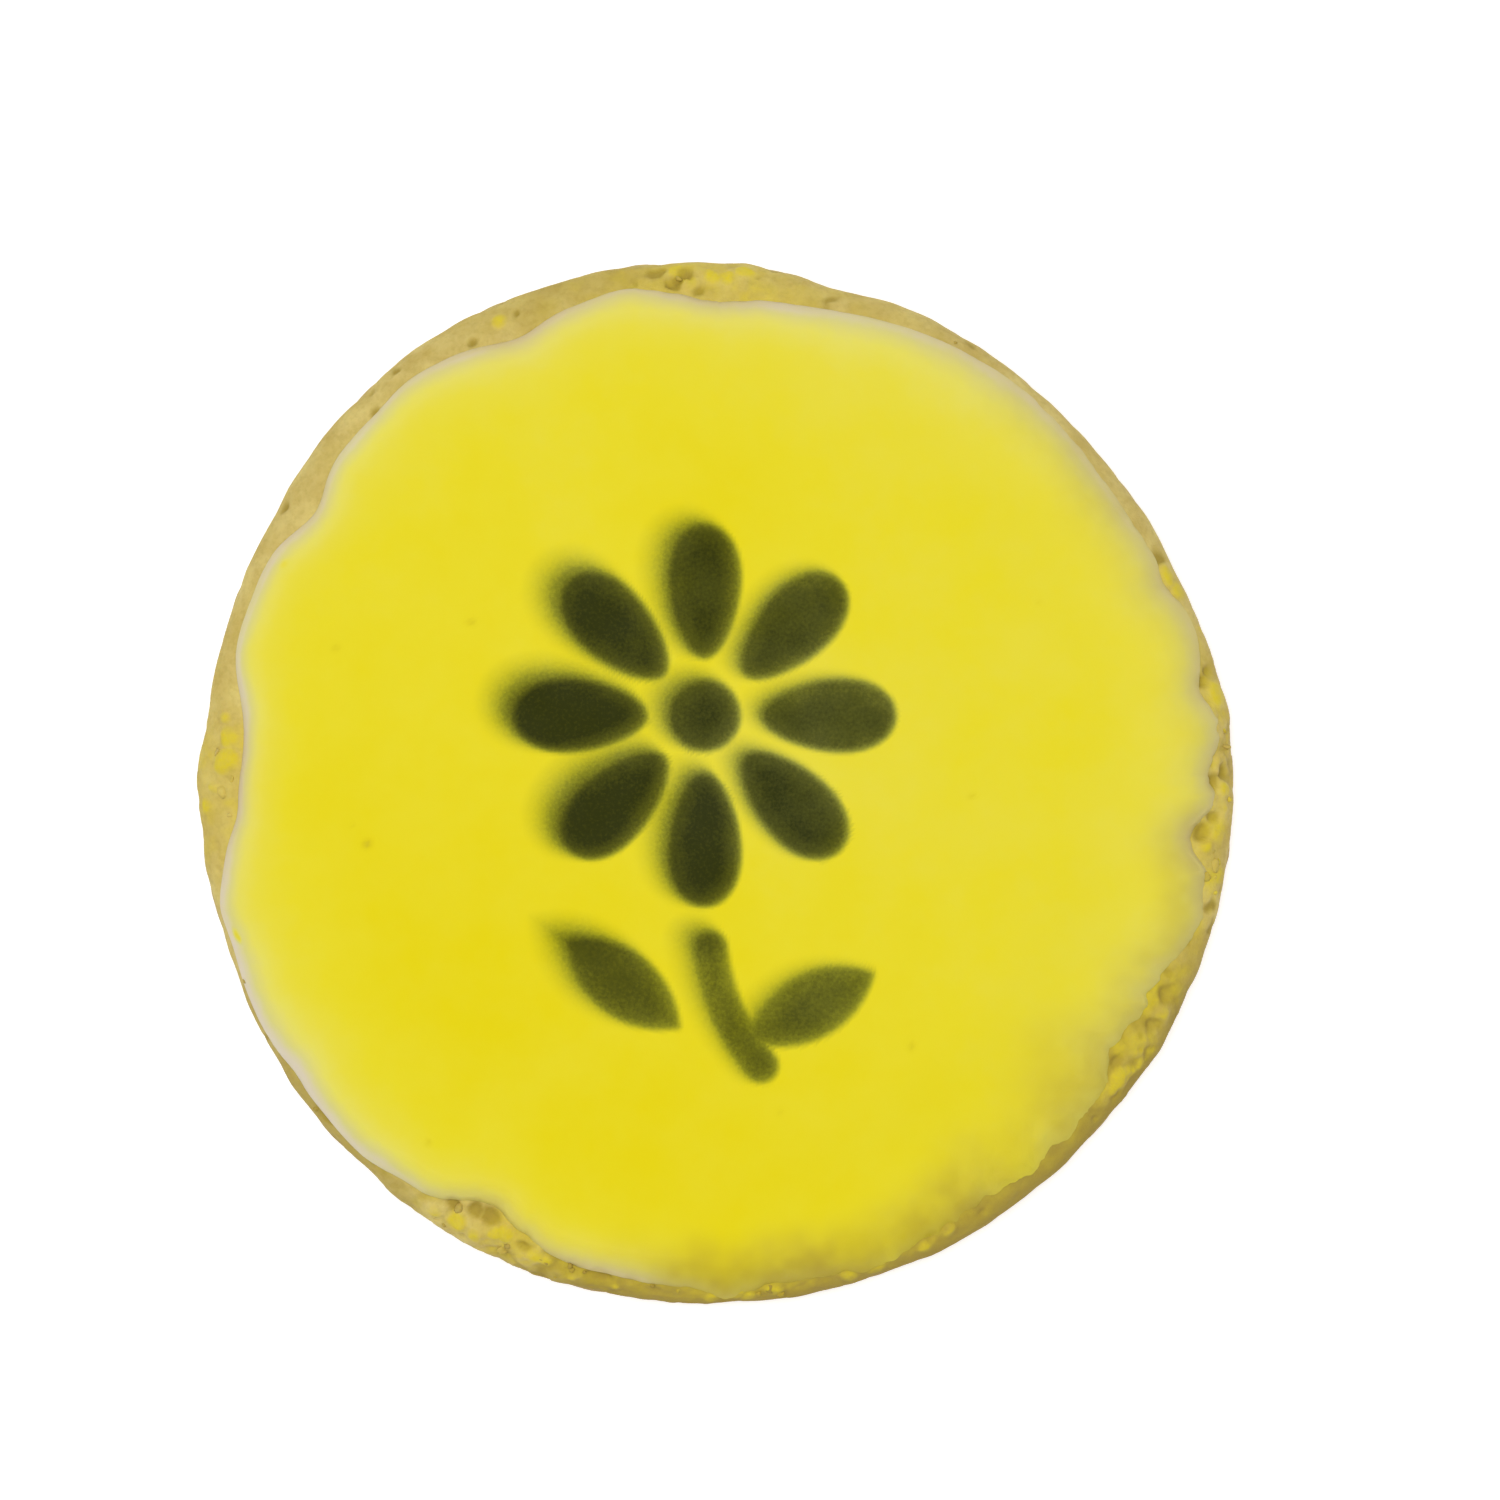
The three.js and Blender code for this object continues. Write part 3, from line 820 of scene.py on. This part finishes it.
def icing_piece():
    """The top grid, a skirt of rings from its edge inwards under it, and a fan to the middle."""
    faces, edge = grid_faces(ICING_CELLS)
    top = at_polar(icing_r, icing_angle, icing_z).reshape(-1, 3)
    angle, radius = icing_angle.ravel()[edge], icing_r.ravel()[edge]
    rings = [at_polar(radius - inwards, angle, cookie_height(angle, radius - inwards) - sink)
             for inwards, sink in SKIRT]
    points = np.concatenate([top, *rings, [[0, 0, COOKIE_TOP]]])

    loops = [edge] + [len(top) + i * len(edge) + np.arange(len(edge)) for i in range(len(rings))]
    skirt = [np.stack([inner, np.roll(inner, -1), np.roll(outer, -1), outer], -1)
             for outer, inner in zip(loops, loops[1:])]
    fan = np.stack([np.full(len(edge), len(points) - 1), np.roll(loops[-1], -1), loops[-1]], -1)

    def under(values):
        """Values at the top, and those of its edge again for each ring."""
        values = values.ravel()
        return np.concatenate([values, np.tile(values[edge], len(rings)), [0]])

    return mesh_piece(
        "poured_icing", points, np.concatenate([faces, *skirt]), fan,
        yellow=under(yellow_spray()), shine=under(dough_shine()), foot=under(foot_tan()),
        paint=under(dark_paint(icing_x, icing_y)))


icing = icing_piece()

# %% [markdown]
# ## Crumbs on the rim
#
# Broken crumbs cling to the rim, most of them where the edge crumbled, and some carry yellow. They are
# copies of one ball, each stretched, cut flat on four sides and sunk half into the shoulder, and all of
# them are one mesh.

# %% A crumb's shape
def small_ball():
    """Points and triangles of a ball of 80 faces."""
    ball = bmesh.new()
    bmesh.ops.create_icosphere(ball, subdivisions=2, radius=1)
    points = np.array([v.co[:] for v in ball.verts])
    faces = np.array([[v.index for v in f.verts] for f in ball.faces])
    ball.free()
    return points, faces


CRUMB_PLACES = [
    (244, 8, 18), (258, 10, 5), (273, 7, 8), (328, 8, 14), (352, 5, 9), (2, 6, 6), (177, 7, 4),
    (212, 30, 3), (60, 40, 3)]
FLAT_CUTS = 4
CLEAR_OF_PITS = 1.6  # degrees


def crumb_shapes(ball, count):
    """Copies of the ball, stretched and cut flat: points beyond a cut are moved back to its plane."""
    uneven = 1 + 0.3 * value_noise(ball[None] + 9 * np.arange(count)[:, None, None], 0.9, 91)[..., None]
    shapes = ball[None] * rng.uniform(0.6, 1.4, (count, 1, 3)) * uneven
    for _ in range(FLAT_CUTS):
        away = rng.normal(size=(count, 1, 3))
        away /= np.linalg.norm(away, axis=-1, keepdims=True)
        beyond = (shapes * away).sum(-1, keepdims=True) - rng.uniform(0.3, 0.7, (count, 1, 1))
        shapes = shapes - np.maximum(beyond, 0) * away
    return shapes


def crumbs_piece():
    """Crumbs between the outline and the icing's edge, half sunk into the shoulder."""
    at = np.concatenate([rng.normal(at, spread / 1.6, count) for at, spread, count in CRUMB_PLACES]) % 360
    turns = (at[:, None] - np.array(PITS)[:, 0] + 180) % 360 - 180
    at = at[np.abs(turns).min(axis=1) > CLEAR_OF_PITS]
    count = len(at)
    size = np.clip(rng.lognormal(-0.9, 0.4, count), 0.2, 0.9)
    band = np.maximum(cookie_radius(at) - icing_edge(at), 0.5)
    radius = cookie_radius(at) - 0.9 * size - rng.uniform(0.05, 0.75, count) * band
    centre = at_polar(radius, at, cookie_height(at, radius) - 0.4 * size)

    ball, faces = small_ball()
    points = crumb_shapes(ball, count) * size[:, None, None] + centre[:, None]
    drift = np.clip(swells_at(DRIFT_PATCHES, at) * rng.uniform(0.1, 1.1, count), 0, 1)
    # Each crumb's painted shade, a random share, plus the stretches' painted shade and tone
    shade = share_at(SHADE_AND_TONE_STRETCHES, at, rng.uniform(0.4, 0.9, count))
    return mesh_piece(
        "rim_crumbs", points.reshape(-1, 3), np.zeros((0, 4), int),
        (faces[None] + len(ball) * np.arange(count)[:, None, None]).reshape(-1, 3),
        drift=np.repeat(drift, len(ball)), depth=np.repeat(shade, len(ball)), browned=0.0)


crumbs = crumbs_piece()

# %% [markdown]
# ## Materials
#
# The finishes are built from nodes. A short helper adds a node and fills its inputs with values or with
# other nodes' outputs, so that each finish reads as a list of layers.

# %% Node helpers
MIDDLE_NOISE = (0.3, 0.7)  # nearly all noise values lie between these


def fill_inputs(tree, node, inputs):
    """Gives the node's inputs, as pairs of a socket and a value or another node's output."""
    for socket, value in inputs:
        if isinstance(value, bpy.types.NodeSocket):
            tree.links.new(value, node.inputs[socket])
        else:
            node.inputs[socket].default_value = value


def add_node(tree, kind, inputs=(), **settings):
    """A new node with its settings and its inputs."""
    made = tree.nodes.new(kind)
    for key, value in settings.items():
        setattr(made, key, value)
    fill_inputs(tree, made, inputs)
    return made


def math_node(tree, operation, *values):
    return add_node(tree, "ShaderNodeMath", list(enumerate(values)), operation=operation).outputs[0]


def mixed(tree, amount, first, second, blend="MIX"):
    pairs = [(0, amount), (6, first), (7, second)]
    return add_node(tree, "ShaderNodeMix", pairs, data_type="RGBA", blend_type=blend).outputs[2]


def colour_ramp(tree, amount, stops):
    """A ramp through (position, linear colour) stops."""
    ramp = add_node(tree, "ShaderNodeValToRGB", [(0, amount)])
    elements = ramp.color_ramp.elements
    for position, _ in stops[1:-1]:
        elements.new(position)
    for element, (position, colour) in zip(elements, stops):
        element.position = position
        element.color = (*colour, 1)
    return ramp.outputs[0]


def mapped(tree, amount, start, end, span=MIDDLE_NOISE):
    """Amount over the span carried to start to end, and held there outside."""
    pairs = [(0, amount), (1, span[0]), (2, span[1]), (3, start), (4, end)]
    return add_node(tree, "ShaderNodeMapRange", pairs, clamp=True).outputs[0]


def noise_in(tree, place, size_mm, detail=2.0, roughness=0.5):
    """Noise whose lumps are about that many mm across."""
    pairs = [("Vector", place), ("Scale", 1 / (size_mm * MM)), ("Detail", detail), ("Roughness", roughness)]
    return add_node(tree, "ShaderNodeTexNoise", pairs).outputs["Fac"]


def stored(tree, name):
    return add_node(tree, "ShaderNodeAttribute", attribute_name=name).outputs["Fac"]


def fine_bump(tree, strength, distance_mm, height):
    pairs = [("Strength", strength), ("Distance", distance_mm * MM), ("Height", height)]
    return add_node(tree, "ShaderNodeBump", pairs).outputs[0]


def new_finish(name, inputs):
    """A material, its node tree, its shader with these inputs, and the Object coordinates."""
    material = bpy.data.materials.new(name)
    material.use_nodes = True
    tree = material.node_tree
    shader = tree.nodes["Principled BSDF"]
    fill_inputs(tree, shader, inputs)
    return material, tree, shader, add_node(tree, "ShaderNodeTexCoord").outputs["Object"]


# %% [markdown]
# ## Baked dough
#
# Sugar dough bakes to a pale, sandy, dull surface, from butter to tan in soft patches. Painted shade
# darkens the low points of its grain and of the crumb, its pits and pores, and the rim's stretches turned
# from the lamp, which elsewhere darken or lighten its tone. The tray browned it, and the drifted spray
# turns it yellow. The finest grain is too small for the mesh, so it is bump.

# %% The dough's finish
DOUGH_PALE = (0.645, 0.52, 0.185, 1)
DOUGH_TAN = (0.52, 0.39, 0.115, 1)
# The colour of painted shade and of the darkest tone
DOUGH_SHADE_AND_DARK = (0.32, 0.225, 0.03, 1)
DOUGH_BROWNED = (0.41, 0.26, 0.085, 1)
DRIFT_YELLOW = (0.66, 0.53, 0.028, 1)
DOUGH_LIGHT = [("Specular IOR Level", 0.15), ("Subsurface Weight", 0.2),
               ("Subsurface Radius", (1.0, 0.7, 0.3)), ("Subsurface Scale", 0.5 * MM)]


def dough_finish():
    material, tree, shader, place = new_finish("baked_dough", DOUGH_LIGHT)
    patches = mapped(tree, noise_in(tree, place, 4, 4, 0.6), 0, 1, (0.35, 0.65))
    grain = noise_in(tree, place, 0.55, 3, 0.6)
    colour = mixed(tree, patches, DOUGH_TAN, DOUGH_PALE)
    # Painted shade: the grain's low points, which the bump also sinks, are darker
    colour = mixed(tree, mapped(tree, grain, 0.25, 0, (0.3, 0.55)), colour, DOUGH_SHADE_AND_DARK)
    # Painted shade and tone from the mesh: pits, pores, the crumb's hollows and the rim's stretches
    colour = mixed(tree, mapped(tree, stored(tree, "depth"), 0, 0.86, (0.3, 1)), colour, DOUGH_SHADE_AND_DARK)
    uneven = mapped(tree, noise_in(tree, place, 9, 3), 0.75, 1)
    browning = math_node(tree, "MULTIPLY", stored(tree, "browned"), uneven)
    colour = mixed(tree, browning, colour, DOUGH_BROWNED)
    drift = math_node(tree, "MULTIPLY", stored(tree, "drift"), mapped(tree, grain, 0.75, 1, (0.3, 0.6)))
    colour = mixed(tree, drift, colour, DRIFT_YELLOW)

    finest = math_node(tree, "MULTIPLY", noise_in(tree, place, 0.2, 2), 0.4)
    height = math_node(tree, "ADD", math_node(tree, "MULTIPLY", grain, 0.6), finest)
    fill_inputs(tree, shader, [
        ("Base Color", colour), ("Roughness", mapped(tree, grain, 0.8, 0.95)),
        ("Normal", fine_bump(tree, 0.45, 0.16, height))])
    return material


dough = dough_finish()

# %% [markdown]
# ## Sprayed icing
#
# The icing is cream coloured, and the spray takes the blue out of it step by step, which turns it lemon
# yellow. The dark paint multiplies what is under it, and a fine grain breaks it up, as droplets do. The
# set surface is satin, with a very fine bump.

# %% The icing's finish
CREAM_TO_LEMON = [(0.0, (0.715, 0.63, 0.465)), (0.2, (0.695, 0.645, 0.22)), (0.4, (0.745, 0.68, 0.11)),
                  (0.6, (0.755, 0.665, 0.05)), (0.8, (0.757, 0.653, 0.018)), (1.0, (0.75, 0.63, 0.004))]
PAINT_FILTER = [(0.0, (1.0, 1.0, 1.0)), (0.2, (0.62, 0.66, 0.95)), (0.37, (0.34, 0.39, 0.75)),
                (0.58, (0.18, 0.21, 0.4)), (0.72, (0.11, 0.13, 0.22)), (1.0, (0.036, 0.047, 0.03))]
SHINE_TAN = (0.41, 0.295, 0.03, 1)
FOOT_TAN = (0.62, 0.475, 0.2, 1)
ICING_LIGHT = [("Specular IOR Level", 0.05), ("Subsurface Weight", 0.3),
               ("Subsurface Radius", (1.0, 0.8, 0.3)), ("Subsurface Scale", 0.8 * MM)]


def icing_finish():
    material, tree, shader, place = new_finish("yellow_icing", ICING_LIGHT)
    soft = noise_in(tree, place, 7, 3)
    speckle = noise_in(tree, place, 0.3, 2, 0.6)
    mottle = noise_in(tree, place, 1.5, 3, 0.6)
    yellow_here = math_node(tree, "ADD", stored(tree, "yellow"), mapped(tree, soft, -0.05, 0.05))
    yellow_here = math_node(tree, "ADD", yellow_here, mapped(tree, mottle, -0.02, 0.02))
    colour = colour_ramp(tree, yellow_here, CREAM_TO_LEMON)
    colour = mixed(tree, mapped(tree, stored(tree, "shine"), 0, 0.8, (0, 1)), colour, SHINE_TAN)
    colour = mixed(tree, stored(tree, "foot"), colour, FOOT_TAN)

    paint_here = stored(tree, "paint")
    painted = mapped(tree, paint_here, 0, 1, (0, 0.5))
    grain = math_node(tree, "MULTIPLY", mapped(tree, speckle, -0.07, 0.07), painted)
    dark = colour_ramp(tree, math_node(tree, "ADD", paint_here, grain), PAINT_FILTER)
    colour = mixed(tree, 1.0, colour, dark, "MULTIPLY")
    fill_inputs(tree, shader, [
        ("Base Color", colour), ("Roughness", mapped(tree, soft, 0.5, 0.62)),
        ("Normal", fine_bump(tree, 0.15, 0.06, noise_in(tree, place, 0.9, 3, 0.55)))])
    return material


lemon = icing_finish()

# %% Dressing the pieces
cookie.data.materials.append(dough)
crumbs.data.materials.append(dough)
icing.data.materials.append(lemon)
for piece, slot in ((cookie, "baked_dough"), (icing, "yellow_icing"), (crumbs, "baked_dough")):
    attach(piece, "root")
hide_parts("cookie")
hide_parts("icing")

# %% [markdown]
# ## Table, light and camera
#
# The cookie lies on a sheet of white acrylic and is seen from straight above, through a long lens. A large
# soft lamp hangs to the upper left, and white light from all round fills the shadows. The sheet is lit
# faintly from below, which makes a pure white ground with hardly a shadow.

# %% The white table
TABLE_TONES = [(0.82, 0.82, 0.82, 1), (0.85, 0.85, 0.85, 1)]
WHITE = (1, 1, 1, 1)
TABLE_LIGHT = [("Roughness", 0.9), ("Specular IOR Level", 0.1), ("Emission Color", WHITE),
               ("Emission Strength", 0.45)]


def table_finish():
    material, tree, shader, place = new_finish("white_table", TABLE_LIGHT)
    tone = mixed(tree, noise_in(tree, place, 40, 2), *TABLE_TONES)
    fill_inputs(tree, shader, [("Base Color", tone)])
    return material


bpy.ops.mesh.primitive_plane_add(size=3, location=(0, 0, -0.05 * MM))
table = bpy.context.object
table.name = "white_table"
table.data.materials.append(table_finish())

# %% Lamp and surrounding light
LAMP_PLACE = Vector((-0.1, 0.08, 1.15))
light = bpy.data.lights.new("upper_left_lamp", "AREA")
light.size, light.energy = 0.8, 11.2
lamp = bpy.data.objects.new("upper_left_lamp", light)
lamp.location = LAMP_PLACE
lamp.rotation_euler = LAMP_PLACE.to_track_quat("Z", "Y").to_euler()
bpy.context.collection.objects.link(lamp)

world = bpy.data.worlds.new("even_white")
bpy.context.scene.world = world
world.use_nodes = True
background = world.node_tree.nodes["Background"]
fill_inputs(world.node_tree, background, [("Color", WHITE), ("Strength", 0.35)])

# %% Camera
FRAME_WIDTH = 144.5 * MM
LOOKS_AT = Vector((3.36 * MM, 3.21 * MM, 5 * MM))
CAMERA_HEIGHT = 1.0

lens = bpy.data.cameras.new("long_lens")
lens.sensor_width = 36
lens.lens = lens.sensor_width * CAMERA_HEIGHT / FRAME_WIDTH
lens.clip_end = 20
camera = bpy.data.objects.new("camera", lens)
camera.location = LOOKS_AT + Vector((0, 0, CAMERA_HEIGHT))
bpy.context.collection.objects.link(camera)
scene = bpy.context.scene
scene.camera = camera
scene.view_settings.view_transform = "Standard"
